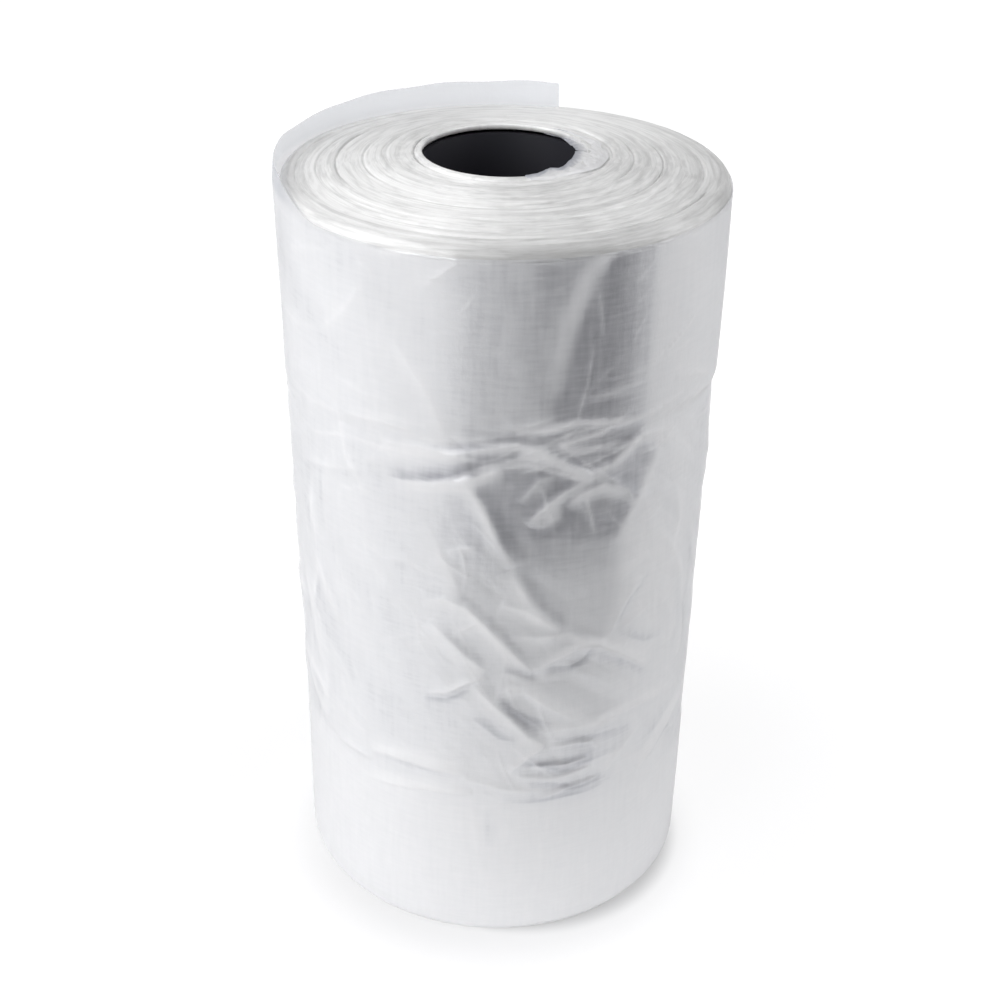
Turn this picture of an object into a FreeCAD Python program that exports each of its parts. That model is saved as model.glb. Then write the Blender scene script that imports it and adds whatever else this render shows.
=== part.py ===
# Produce bag roll: gusseted plastic bags wound flat on a thin plastic core.
# Millimetres, +Z up. The roll stands on its lower end, centred on the Z axis, with -Y as its front.
import FreeCAD, Part
import math
import os

V = FreeCAD.Vector

# ---- driving dimensions ----
film_width = 250.0          # lay-flat width of the bags, which is the height of the roll's rim
core_bore = 50.0            # hole for the dispenser's rod
core_wall = 1.5
lip_height = 1.5            # innermost film, curled in over the core's upper end
lip_clearance = 0.3         # how far that film stays back from the bore

telescope = 5.0             # how far the core and the inner turns have slid up past the rim
foot_ring = 9.0             # width of the flat ring of outer turns that the roll stands on

top_band_radius = 70.8      # over the upper side gussets, four layers of film to a turn
top_band_taper = 1.3        # how much narrower that band is at its lower edge
top_gusset = 61.0           # height of the upper gusset band
top_tilt = 4.0              # how much higher its lower edge lies at the front than at the sides
bottom_band_radius = 67.5   # over the lower side gussets
bottom_gusset = 58.0        # height of the lower band
bottom_tilt = 6.0           # how much higher its upper edge lies at the left than at the front

middle_sink = 0.7           # how far the two-layer middle lies inside the band below it
middle_flare = 1.7          # how much wider the middle is at the top than at the bottom
fold_height = 2.2           # rise and fall of the crumpled film about its mean radius
fold_row_height = 9.0       # about how far apart the creases lie up the roll
fold_columns = 52           # crease corners around the roll
fold_fade = 5.0             # how soon the folds reach full height away from the bands
fold_lean = 11.0            # height in which a ridge leans round by one radian of its wave
calm_share = 0.55           # how much flatter the folds lie on the tight left side
calm_side = -75.0           # middle of that side, in degrees from the front

top_groups = 8              # bundles of turns that show on the upper end, each slid up a little
bottom_groups = 3           # the same on the lower end
group_step = 1.0            # how far a bundle stands above the next one out
group_wander = 0.2          # how unevenly the bundles are spread, as a share of their spacing
rim_drop = 1.0              # how far the rim's edge sags below the film's width

last_turn_wall = 0.7        # last turn, with its gusset layers
last_turn_rise = 7.4        # how far its free end stands above the rim
last_turn_end = 165.0       # where the free end is, in degrees from the front, anticlockwise from above
last_turn_span = 306.0      # angle over which it sinks back to the rim
slack = 3.0                 # widest gap between the loose last turn and the tight ones
slack_depth = 14.0          # how deep that gap runs
ramp_stations = 18          # places along the last turn at which its upper edge is set out
overlap = 2.0               # how far the crumpled middle runs on inside each band

core_radius = core_bore / 2 + core_wall
core_length = film_width - lip_height
lip_radius = core_bore / 2 + lip_clearance
last_turn_inside = top_band_radius - last_turn_wall
rim_radius = last_turn_inside - slack / 2
foot_radius = bottom_band_radius - foot_ring
middle_bottom = bottom_gusset - bottom_tilt - overlap
middle_top = film_width - top_gusset + top_tilt + overlap


def at(angle, radius, height):
    """Point at an angle in degrees from the front."""
    a = math.radians(angle)
    return V(radius * math.sin(a), -radius * math.cos(a), height)


def revolved(points):
    """Solid of revolution of a closed outline given as (radius, height) pairs."""
    corners = [V(r, 0, z) for r, z in points]
    outline = Part.makePolygon(corners + corners[:1])
    return Part.Face(outline).revolve(V(0, 0, 0), V(0, 0, 1), 360)


# ---- core ----
def core_tube():
    """Plain thin-walled tube, slid up with the inner turns."""
    foot = V(0, 0, telescope)
    tube = Part.makeCylinder(core_radius, core_length, foot)
    return tube.cut(Part.makeCylinder(core_bore / 2, core_length, foot))


# ---- ends of the wound film ----
def lift(radius):
    """How far the turns at this radius have slid up."""
    share = max(0.0, (foot_radius - radius) / (foot_radius - lip_radius))
    return telescope * share ** 0.8


def stepped_end(base, groups, reach):
    """End face from the core out to a radius, as steps between bundles of turns."""
    pitch = (reach - core_radius) / groups
    outline = [(lip_radius, base + lift(lip_radius))]
    for group in range(1, groups):
        radius = core_radius + pitch * (group + group_wander * math.sin(2.6 * group))
        height = base + lift(radius)
        outline.append((radius, height))
        outline.append((radius, height - group_step))
    return outline


def above_top_end():
    """Space over the upper end face, inside the last turn."""
    high = film_width + last_turn_rise + telescope
    face = stepped_end(film_width, top_groups, rim_radius)
    edge = [(last_turn_inside, film_width - rim_drop), (last_turn_inside, high), (lip_radius, high)]
    return revolved(face + edge)


def below_bottom_end():
    """Space under the lower end face, inside the ring that the roll stands on."""
    low = -telescope
    face = stepped_end(group_step, bottom_groups, foot_radius)
    return revolved(face + [(foot_radius, 0), (foot_radius, low), (lip_radius, low)])


# ---- last turn ----
def above_last_turn():
    """Everything above the last turn's upper edge, which sinks from its free end back to the rim."""
    inner = last_turn_inside - slack
    outer = top_band_radius + slack
    top = film_width + last_turn_rise + overlap
    sections = []
    for station in range(ramp_stations + 1):
        share = station / ramp_stations
        angle = last_turn_end + last_turn_span * share
        edge = film_width + last_turn_rise * (1 - share)
        corners = [at(angle, inner, edge), at(angle, outer, edge),
                   at(angle, outer, top), at(angle, inner, top)]
        sections.append(Part.makePolygon(corners + corners[:1]))
    ramp = Part.makeLoft(sections, True, False)
    profile = [V(inner, 0, film_width), V(outer, 0, film_width), V(outer, 0, top), V(inner, 0, top)]
    face = Part.Face(Part.makePolygon(profile + profile[:1]))
    face.rotate(V(0, 0, 0), V(0, 0, 1), last_turn_end + last_turn_span - 90)
    rest = face.revolve(V(0, 0, 0), V(0, 0, 1), 360 - last_turn_span)
    return ramp, rest


def loose_turn_gap():
    """Crescent gap on the left, between the loose last turn and the tight ones."""
    floor = film_width - slack_depth
    side = V(slack / 2, 0, floor)
    gap = Part.makeCylinder(last_turn_inside, slack_depth + telescope, V(0, 0, floor))
    tight = Part.makeCone(last_turn_inside + slack / 2, rim_radius, slack_depth, side)
    side.z = film_width
    return gap.cut(tight).cut(Part.makeCylinder(rim_radius, telescope, side))


# ---- outside of the wound film ----
def tilted_cut(height, rise, angle, upward):
    """Large block on one side of a plane that rises by this much over the radius towards an angle."""
    side = 4 * top_band_radius
    block = Part.makeBox(side, side, side, V(-side / 2, -side / 2, 0 if upward else -side))
    axis = at(angle + 90, 1, 0)
    block.rotate(V(0, 0, 0), axis, -math.degrees(math.atan(rise / top_band_radius)))
    block.translate(V(0, 0, height))
    return block


def top_band():
    """Smooth flaring band over the upper gussets, up to the last turn's free end."""
    high = film_width + last_turn_rise
    low = film_width - top_gusset - top_tilt
    low_radius = top_band_radius - top_band_taper
    band = revolved([(0, low), (low_radius, low), (top_band_radius, film_width),
                     (top_band_radius, high), (0, high)])
    return band.cut(tilted_cut(film_width - top_gusset, top_tilt, 0, False))


def bottom_band():
    """Smooth straight band over the lower gussets."""
    band = Part.makeCylinder(bottom_band_radius, bottom_gusset + bottom_tilt)
    return band.cut(tilted_cut(bottom_gusset, bottom_tilt, -90, True))


def fold_radius(row, column, angle, height):
    """Radius of the crumpled film: leaning ridges, shallower crossing ones and uneven crease corners."""
    a = math.radians(angle)
    lean = height / fold_lean
    ridges = math.sin(9 * a + lean) + 0.6 * math.sin(5 * a - 0.8 * lean + 1.3)
    corners = math.sin(3.7 * column + 5.1 * row * row)
    calm = 1 - calm_share * (0.5 + 0.5 * math.cos(a - math.radians(calm_side)))
    share = (height - middle_bottom) / (middle_top - middle_bottom)
    fade = min(1.0, fold_fade * share * (1 - share))
    mean = bottom_band_radius - middle_sink + middle_flare * share
    return mean + fold_height * calm * fade * (0.35 * ridges + 0.3 * corners)


def crumpled_middle():
    """Solid whose wall is a net of flat facets, creased like slack film, closed by two flat ends."""
    height = middle_top - middle_bottom
    rows = max(3, round(height / fold_row_height))
    step = 360.0 / fold_columns
    net = []
    for row in range(rows + 1):
        z = middle_bottom + height * row / rows
        ring = []
        for column in range(fold_columns):
            angle = step * (column + 0.5 * (row % 2))
            ring.append(at(angle, fold_radius(row, column, angle, z), z))
        net.append(ring)
    faces = [Part.Face(Part.makePolygon(ring + ring[:1])) for ring in (net[0], net[-1])]
    for row in range(rows):
        below, above = net[row], net[row + 1]
        for column in range(fold_columns):
            after = (column + 1) % fold_columns
            a, b, c, d = below[column], below[after], above[after], above[column]
            halves = ((a, b, c), (a, c, d)) if row % 2 else ((a, b, d), (b, c, d))
            for corners in halves:
                faces.append(Part.Face(Part.makePolygon([*corners, corners[0]])))
    shell = Part.Shell(faces)
    shell.sewShape()
    return Part.Solid(shell)


def bag_roll():
    """All the turns of film as one solid."""
    body = bottom_band().fuse(crumpled_middle()).fuse(top_band())
    for tool in (*above_last_turn(), above_top_end(), below_bottom_end(), loose_turn_gap()):
        body = body.cut(tool)
    foot = V(0, 0, -telescope)
    core_hole = Part.makeCylinder(core_radius, core_length + 2 * telescope, foot)
    rod_hole = Part.makeCylinder(lip_radius, film_width + 3 * telescope, foot)
    return body.cut(core_hole).cut(rod_hole)


os.makedirs("parts", exist_ok=True)
core_tube().exportStep("parts/core_tube.step")
bag_roll().exportStep("parts/bag_roll.step")
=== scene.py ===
# Produce bag roll: the wound film, its end faces and its loose last turn are dressed around the CAD frame.
# Angles are in degrees from the front (-Y), positive towards +X. Film sizes are in millimetres until the
# meshes are made.
import math
import bpy
import numpy as np
from mathutils import Matrix, Vector


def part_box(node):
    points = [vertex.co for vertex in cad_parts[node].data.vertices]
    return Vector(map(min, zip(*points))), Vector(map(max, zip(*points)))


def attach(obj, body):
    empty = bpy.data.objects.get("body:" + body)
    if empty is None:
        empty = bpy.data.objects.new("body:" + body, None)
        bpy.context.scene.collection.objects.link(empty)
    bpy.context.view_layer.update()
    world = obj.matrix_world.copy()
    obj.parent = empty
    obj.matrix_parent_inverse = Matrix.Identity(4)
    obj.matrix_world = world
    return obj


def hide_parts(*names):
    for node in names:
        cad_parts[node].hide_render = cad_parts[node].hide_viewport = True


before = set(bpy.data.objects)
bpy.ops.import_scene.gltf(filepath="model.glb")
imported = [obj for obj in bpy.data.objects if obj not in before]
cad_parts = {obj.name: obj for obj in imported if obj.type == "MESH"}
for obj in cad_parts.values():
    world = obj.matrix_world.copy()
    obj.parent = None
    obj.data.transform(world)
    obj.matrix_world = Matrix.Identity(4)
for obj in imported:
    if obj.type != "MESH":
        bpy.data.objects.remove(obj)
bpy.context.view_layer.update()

mm = 0.001

coreLow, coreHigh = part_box("core_tube")
rollLow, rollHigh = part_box("bag_roll")


def linearColour(hexText, alpha=1.0):
    parts = [int(hexText[i:i + 2], 16) / 255 for i in (1, 3, 5)]
    return [p / 12.92 if p <= 0.04045 else ((p + 0.055) / 1.055) ** 2.4 for p in parts] + [alpha]


def smooth(x, low, high):
    t = np.clip((x - low) / (high - low), 0, 1)
    return t * t * (3 - 2 * t)


def addNode(tree, kind, settings=None, inputs=None, links=None):
    node = tree.nodes.new("ShaderNode" + kind)
    for name, value in (settings or {}).items():
        setattr(node, name, value)
    for name, value in (inputs or {}).items():
        node.inputs[name].default_value = value
    for name, source in (links or {}).items():
        tree.links.new(source, node.inputs[name])
    return node


def ringPoints(angles, radii, heights):
    # angle, radius and height grids (degrees, mm) to points in metres
    a = np.radians(angles)
    return np.stack(np.broadcast_arrays(radii * np.sin(a), -radii * np.cos(a), heights), axis=-1) * mm


def gridNormals(points, closed):
    # vertex normals of the whole grid, so that pieces cut from it meet without a visible seam
    across = np.gradient(points, axis=1)
    if closed:
        across = (np.roll(points, -1, axis=1) - np.roll(points, 1, axis=1)) / 2
    normals = np.cross(across, np.gradient(points, axis=0))
    return normals / np.maximum(np.linalg.norm(normals, axis=-1, keepdims=True), 1e-12)


def gridMesh(name, points, closed, uvs, rowSlots=None, normals=None, **paints):
    # points: rows x columns x 3; a closed grid joins its last column to its first; rowSlots: material slot
    # of each row of faces
    rows, columns = points.shape[:2]
    index = np.arange(rows * columns).reshape(rows, columns)
    after = np.roll(index, -1, axis=1) if closed else index[:, 1:]
    here = index if closed else index[:, :-1]
    quads = np.stack([here[:-1], after[:-1], after[1:], here[1:]], axis=-1).reshape(-1, 4)
    mesh = bpy.data.meshes.new(name)
    mesh.vertices.add(rows * columns)
    mesh.vertices.foreach_set("co", points.reshape(-1))
    mesh.loops.add(quads.size)
    mesh.loops.foreach_set("vertex_index", quads.reshape(-1))
    mesh.polygons.add(len(quads))
    mesh.polygons.foreach_set("loop_start", np.arange(len(quads)) * 4)
    mesh.polygons.foreach_set("use_smooth", np.ones(len(quads), bool))
    if rowSlots is not None:
        mesh.polygons.foreach_set("material_index", np.repeat(rowSlots[:-1], here.shape[1]))
    mesh.update(calc_edges=True)
    layer = mesh.uv_layers.new(name="film")
    layer.data.foreach_set("uv", uvs.reshape(-1, 2)[quads.reshape(-1)].reshape(-1))
    for paint, values in paints.items():      # film properties that vary over the piece
        mesh.attributes.new(paint, "FLOAT", "POINT").data.foreach_set("value", values.reshape(-1))
    if normals is not None:
        mesh.normals_split_custom_set_from_vertices(normals.reshape(-1, 3).tolist())
    piece = bpy.data.objects.new(name, mesh)
    bpy.context.scene.collection.objects.link(piece)
    return piece


def facetNoise(u, v, seed, cells):
    # film creased at random: heights joined by flat facets on a triangular net that wraps round in u
    r = np.random.default_rng(seed)
    rows = int(np.max(v)) + 3
    net = r.uniform(-1, 1, (rows, cells))
    iu, iv = np.floor(u).astype(int), np.floor(v).astype(int)
    fu, fv = u - iu, v - iv

    def corner(du, dv):
        return net[np.clip(iv + dv, 0, rows - 1), (iu + du) % cells]
    upper = fu + fv > 1
    near, far, right, above = corner(0, 0), corner(1, 1), corner(1, 0), corner(0, 1)
    low = near + fu * (right - near) + fv * (above - near)
    high = far + (1 - fu) * (above - far) + (1 - fv) * (right - far)
    return np.where(upper, high, low)


def lineNoise(x, seed, count=64):
    # smooth noise along one dimension, one step per unit
    values = np.random.default_rng(seed).uniform(-1, 1, count)
    i = np.floor(x).astype(int)
    t = x - i
    t = t * t * (3 - 2 * t)
    return values[i % count] * (1 - t) + values[(i + 1) % count] * t


# the wound film's shape, shared by the body and its last turn
roll = {
    "rimHeight": rollHigh.z / mm - 7.4,  # the film's width, without the raised last turn
    "turnRadius": 69.0,                  # where lengths along the film are measured
    "lift": coreLow.z / mm,              # how far the inner turns have slid up
    "footRing": 9.0,                     # turns that still stand on the table
    "lipRadius": 25.3,
    "coreRadius": coreHigh.x / mm,
    # height, radius on the left, radius on the right
    "profile": [(0, 67.1, 67.0), (4, 67.5, 67.3), (35, 67.5, 67.7), (57, 67.5, 67.9), (80, 67.3, 68.3),
                (105, 67.4, 68.5), (135, 68.3, 68.8), (165, 69.2, 69.3), (190, 69.7, 69.8),
                (215, 70.1, 70.2), (250, 70.8, 70.3)],
    "sink": 0.8,                         # dip of the slack film just below the upper band
    "upperBand": (64.0, 8.5, 12.0),      # depth below the rim, slant, angle where it is shallowest
    "lowerBand": (58.0, 6.5),            # height at the front and back, slant
}

# folds of the slack middle at the front: points (angle, height), rise, and width on the left and right of
# the line
frontFolds = [
    ([(-9, 180), (-4, 170), (0, 158), (4, 149)], 1.2, 2.6, 3.4),
    ([(3, 148), (8, 137), (12, 130), (17, 124)], 1.1, 2.6, 3.0),
    ([(-20, 134), (-13, 136), (-8, 134), (-3, 128), (5, 116), (10, 109)], 1.3, 1.8, 2.8),
    ([(-18, 163), (-15, 153), (-12, 146), (-9, 136)], 0.6, 3.0, 4.0),
    ([(-30, 187), (-19, 188), (-11, 187), (-2, 185)], 0.8, 1.4, 2.4),
    ([(-14, 186), (-2, 190), (4, 191), (10, 189), (16, 184), (23, 179), (31, 175)], 1.0, 1.6, 2.2),
    ([(-27, 175), (-17, 176), (-8, 179), (1, 183)], 0.8, 1.6, 3.2),
    ([(8, 160), (20, 156), (31, 153)], 0.12, 2.6, 6.0),
    ([(16, 184), (22, 180), (28, 181), (37, 188), (45, 187)], 0.9, 2.0, 2.4),
    ([(7, 164), (10, 168), (16, 174), (23, 179)], 1.0, 1.8, 2.6),
    ([(8, 165), (11, 163.5), (15, 166), (15, 170)], 0.5, 2.6, 2.6),
    ([(5, 172), (10, 179), (14, 180)], 0.6, 1.8, 2.0),
    ([(17, 169), (20, 173), (26, 175), (33, 171), (36, 165)], 1.0, 2.2, 3.6),
    ([(-13, 154), (-9, 155), (-5, 156)], 0.5, 1.0, 1.4),
    ([(44, 181), (39, 170), (34, 160), (32, 152)], 0.8, 3.4, 3.4),
    ([(43, 144), (36, 141), (32, 137)], 0.7, 1.8, 2.4),
    ([(40, 137), (34, 127), (31, 118)], 0.8, 2.6, 2.8),
    ([(45, 124), (40, 122), (34, 119)], 0.6, 1.6, 2.2),
    ([(1, 136), (8, 133), (17, 125)], 0.9, 2.0, 2.2),
    ([(3, 124), (11, 123), (19, 123), (24, 119), (30, 116)], 0.7, 1.8, 2.2),
    ([(-18, 127), (-12, 121), (-7, 115), (-2, 110)], 0.9, 2.0, 3.4),
    ([(10, 110), (16, 114), (22, 117), (28, 116), (36, 109), (46, 99)], 1.2, 2.6, 1.8),
    ([(-19, 99), (-13, 101), (-7, 106), (-2, 108)], 0.9, 1.8, 1.5),
    ([(-6, 105), (-1, 98), (4, 92), (9, 84), (14, 80)], 1.3, 2.0, 3.2),
    ([(0, 102), (8, 102), (15, 95), (24, 87)], 1.0, 3.0, 2.0),
    ([(12, 85), (20, 86), (28, 85), (38, 86), (53, 84)], 1.1, 2.4, 2.0),
    ([(4, 70), (9, 76), (14, 80)], 0.9, 1.8, 1.6),
    ([(15, 79), (22, 79), (27, 78), (30, 74)], 0.6, 1.3, 1.3),
    ([(10, 72), (20, 71), (28, 72)], 0.7, 1.2, 1.4),
    ([(6, 68), (16, 66), (28, 67)], 0.7, 1.2, 1.3),
    ([(12, 58), (20, 61), (31, 62)], 0.7, 1.3, 1.3),
    ([(31, 60), (35, 67), (39, 72), (45, 77)], 0.6, 2.4, 2.4),
    ([(45, 57), (51, 62), (55, 65.6), (61, 68.5), (68, 71), (74, 73.5)], 1.6, 3.6, 1.6),
    ([(-56, 62), (-46, 64), (-37, 64)], 0.8, 1.6, 1.6),
    ([(-37, 67), (-32, 69.5), (-24, 70), (-15, 69.5), (-7, 68)], 1.3, 3.6, 1.4),
    ([(-9, 67), (3, 63), (14, 61)], 0.8, 1.6, 1.4),
    ([(-58, 104), (-48, 97), (-42, 88)], 0.5, 2.0, 2.6),
    ([(-54, 80), (-46, 77), (-38, 74)], 0.6, 1.8, 2.0),
    ([(-70, 120), (-60, 108), (-56, 96)], 0.5, 2.4, 3.0),
    ([(-40, 150), (-30, 146), (-22, 148)], 0.4, 2.0, 2.0),
    ([(52, 165), (56, 150), (53, 138)], 0.6, 3.0, 3.0),
]
# ridge along the edge of the lower band
hemFolds = [([(-40, 55.5), (-30, 57.5), (-20, 59.8), (-6, 61)], 1.0, 3.0, 1.2)]
# tight creases pulled into the upper band
bandFolds = [
    ([(-30, 246), (-25, 248), (-20, 251)], 0.30, 0.9, 1.4),
    ([(-19, 238), (-14, 243), (-8, 249)], 0.30, 0.9, 1.2),
    ([(-36, 243), (-31, 240)], 0.25, 0.7, 0.9),
    ([(-29, 226), (-23, 216), (-17, 205), (-12, 189)], 0.32, 1.8, 4.5),
    ([(-50, 216), (-40, 226), (-33, 238)], 0.3, 1.4, 2.0),
    ([(43, 213), (49, 217), (56, 222)], 0.4, 0.5, 0.7),
    ([(30, 209), (44, 212), (62, 215)], 0.3, 0.5, 0.8),
    ([(-64, 236), (-52, 241), (-42, 244)], 0.3, 0.5, 0.9),
    ([(22, 222), (20.5, 208), (18.5, 197)], 0.2, 0.45, 0.5),
    ([(18, 204), (29, 205), (39, 207)], 0.3, 0.8, 1.0),
    ([(7, 194), (19, 197), (34, 194)], 0.4, 0.9, 1.1),
    ([(12, 190), (24, 192), (32, 197)], 0.4, 0.9, 1.1),
    ([(-3, 196), (6, 197), (14, 200)], 0.25, 0.8, 1.0),
    ([(-45, 203), (-34, 201), (-26, 202)], 0.3, 1.0, 1.2),
    ([(-42, 192), (-30, 194), (-20, 192)], 0.35, 1.0, 1.4),
    ([(-80, 214), (-62, 213), (-50, 216)], 0.3, 1.0, 1.2),
    ([(48, 203), (58, 200), (70, 194)], 0.4, 1.2, 1.4),
    ([(-5.5, 55), (-4.5, 46), (-3.5, 36)], 0.25, 1.2, 3.0),
    ([(50, 190), (62, 192), (74, 190)], 0.5, 1.0, 1.4),
]


def foldField(angles, heights, folds, widen=1.0, kind="crest"):
    # ridges along the given lines, each side with its own width, tapering at both ends; as sharp crests for
    # the shape, or for the look as milky ribbons on the crests, partly painted highlight, and painted shade
    # in dents on their steep side
    total = np.zeros(np.broadcast(angles, heights).shape)
    x, y = np.radians(angles) * roll["turnRadius"], heights
    for points, rise, leftWidth, rightWidth in folds:
        p = np.array(points, float)
        p[:, 0] = np.radians(p[:, 0]) * roll["turnRadius"]
        reach = 4.5 * widen * max(leftWidth, rightWidth)
        near = ((x > p[:, 0].min() - reach) & (x < p[:, 0].max() + reach)
                & (y > p[:, 1].min() - reach) & (y < p[:, 1].max() + reach))
        if not near.any():
            continue
        u, v = x[near], y[near]
        steps = np.hypot(*np.diff(p, axis=0).T)
        walked, best = 0.0, np.full(u.shape, 1e9)
        along, onLeft = np.zeros(u.shape), np.zeros(u.shape, bool)
        for (ax, ay), (bx, by), step in zip(p[:-1], p[1:], steps):
            t = np.clip(((u - ax) * (bx - ax) + (v - ay) * (by - ay)) / step ** 2, 0, 1)
            d = np.hypot(u - ax - t * (bx - ax), v - ay - t * (by - ay))
            closer = d < best
            best = np.where(closer, d, best)
            along = np.where(closer, (walked + t * step) / steps.sum(), along)
            onLeft = np.where(closer, (bx - ax) * (v - ay) - (by - ay) * (u - ax) > 0, onLeft)
            walked += step
        width = np.where(onLeft, leftWidth, rightWidth) * widen
        steep = onLeft == (leftWidth < rightWidth)
        taper = np.clip(4 * along * (1 - along), 0.0, 1) ** 0.6
        if kind == "crest":
            shape = math.sqrt(0.03 * widen) - np.sqrt((best / width) ** 2 + 0.03 * widen)
        elif kind == "ribbon":      # crisp on its steep side, fading out on the other
            shape = -(best / (width * np.where(steep, 0.38, 1.15))) ** 2
        else:
            shape = np.where(steep, -((best / width - 1.2) / 0.8) ** 2, -50.0)
        total[near] += rise * taper * np.exp(shape)
    return total


def randomFolds(count, seed, angles, heights, length, lean, rise, width):
    # more folds of the same kind, strewn at random over a range of angles and heights
    r = np.random.default_rng(seed)
    folds = []
    for _ in range(count):
        angle, height, long = r.uniform(*angles), r.uniform(*heights), r.uniform(*length)
        slope, bend = r.normal(*lean), r.uniform(-0.1, 0.1) * long
        points = []
        for t in (-0.5, -0.17, 0.17, 0.5):
            out = bend * (0.25 - t * t) * 4
            across = t * long * math.cos(slope) - out * math.sin(slope)
            points.append((angle + math.degrees(across) / roll["turnRadius"],
                           height + t * long * math.sin(slope) + out * math.cos(slope)))
        folds.append((points, r.uniform(*rise), r.uniform(*width), r.uniform(*width)))
    return folds


# values: count, seed, ranges of angle, height and length, mean and spread of the lean, ranges of rise and
# width
backFolds = randomFolds(110, 7, (50, 310), (60, 184), (12, 40), (-0.9, 0.6), (0.3, 1.1), (1.4, 4.5))
# hair-fine creases, with the same values in each row
fineCreases = [
    (46, 5, (-48, 52), (62, 184), (8, 30), (-0.95, 0.35), (0.05, 0.18), (0.35, 0.6)),      # slack middle
    (24, 6, (-48, 52), (62, 184), (6, 18), (0.35, 0.35), (0.05, 0.16), (0.35, 0.6)),
    (110, 8, (52, 312), (62, 184), (6, 26), (-0.8, 0.7), (0.06, 0.2), (0.35, 0.7)),        # round the back
    (60, 9, (-180, 180), (192, 246), (5, 22), (0.5, 0.8), (0.02, 0.09), (0.35, 0.6)),      # upper band
    (70, 10, (-180, 180), (180, 196), (8, 26), (0.12, 0.15), (0.04, 0.16), (0.35, 0.7)),   # its lower edge
    (26, 11, (5, 60), (183, 197), (8, 22), (0.16, 0.1), (0.08, 0.2), (0.35, 0.6)),
    (24, 12, (-180, 180), (6, 52), (8, 24), (1.5, 0.3), (0.02, 0.06), (0.5, 1.0)),         # lower band
]
fineFolds = [fold for creases in fineCreases for fold in randomFolds(*creases)]
# short folds along both edges of the slack middle: angle, height, how far the middle is pulled up
edgePlaces = [(60, 60, 3), (75, 56, 2), (92, 60, -3), (110, 55, 2), (128, 58, 2), (146, 56, 3),
              (163, 60, -2), (-170, 62, 2), (-150, 65, -2), (-132, 66, 3), (-112, 68, 2), (-90, 70, -3),
              (72, 180, 3), (95, 176, 2), (118, 173, 3), (140, 176, -3), (160, 172, 2), (-172, 175, 2),
              (-150, 171, 3), (-125, 178, -2), (-100, 180, 2), (-76, 181, 2)]
edgeFolds = [([(a - 9, z), (a, z + pull), (a + 9, z + pull / 2)], 0.6, 1.3, 1.5)
             for a, z, pull in edgePlaces]


def foldsAllRound(angles, heights, folds, widen=1.0, kind="crest"):
    return sum(foldField(angles + turn, heights, folds, widen, kind) for turn in (-360, 0, 360))


def allFolds(angles, heights, widen=1.0):
    front = foldField(angles, heights, frontFolds, widen)
    return front + foldsAllRound(angles, heights, backFolds + edgeFolds, widen)


def upperEdge(angles):
    # lower edge of the upper band
    depth, slant, shallowest = roll["upperBand"]
    return roll["rimHeight"] - depth + slant * np.cos(np.radians(angles - shallowest))


def lowerEdge(angles):
    # upper edge of the lower band, highest on the left
    height, slant = roll["lowerBand"]
    return height - slant * np.sin(np.radians(angles))


def slackShare(angles, heights):
    top, bottom = upperEdge(angles), lowerEdge(angles)
    return smooth(heights, bottom - 1, bottom + 2.5) * smooth(top - heights, -1, 4)


def profileRadius(angles, heights):
    z, left, right = np.array(roll["profile"]).T
    share = 0.5 + 0.5 * np.sin(np.radians(angles))
    radius = np.interp(heights, z, left) * (1 - share) + np.interp(heights, z, right) * share
    slack = slackShare(angles, heights)
    step = 0.12 + 0.8 * np.exp(-((angles - 85) / 30) ** 2)      # edge of the gussets, plainest at the right
    dip = roll["sink"] * np.exp(-np.clip(upperEdge(angles) - heights, 0, None) / 12) + step
    # the taut bands aren't quite round
    wave = 0.16 * np.sin(np.radians(3 * angles + 40))
    wave = wave + 0.08 * np.sin(np.radians(7 * angles - heights * 0.6))
    return radius - slack * dip + (1 - slack) * wave


def filmRadius(angles, heights):
    # outer face of the last turn
    slack = slackShare(angles, heights)
    # the slack middle is calmest at the left and the right
    calm = 1 - 0.65 * np.exp(-((angles + 62) / 28) ** 2) - 0.5 * np.exp(-((angles - 88) / 20) ** 2)
    # facets about 14, 7 and 3 mm wide, leaning as the film was wound
    lean = heights / 30
    net = facetNoise(angles / 360 * 30 + lean, heights / 15, 3, 30)
    fine = facetNoise(angles / 360 * 62 + 1.3 * lean, heights / 7.5, 4, 62)
    tiny = facetNoise(angles / 360 * 130 + 2 * lean, heights / 3.6, 5, 130)
    crumple = calm * (0.34 * net + 0.20 * fine + 0.06 * tiny)
    radius = profileRadius(angles, heights)
    radius = radius + slack * (crumple + calm * 0.85 * allFolds(angles, heights) + 0.35)
    radius = radius + calm * foldsAllRound(angles, heights, fineFolds)
    radius = radius + 0.85 * foldField(angles, heights, hemFolds)
    return radius + (1 - slack) * (foldField(angles, heights, bandFolds) + 0.03 * fine + 0.05 * net)
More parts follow.
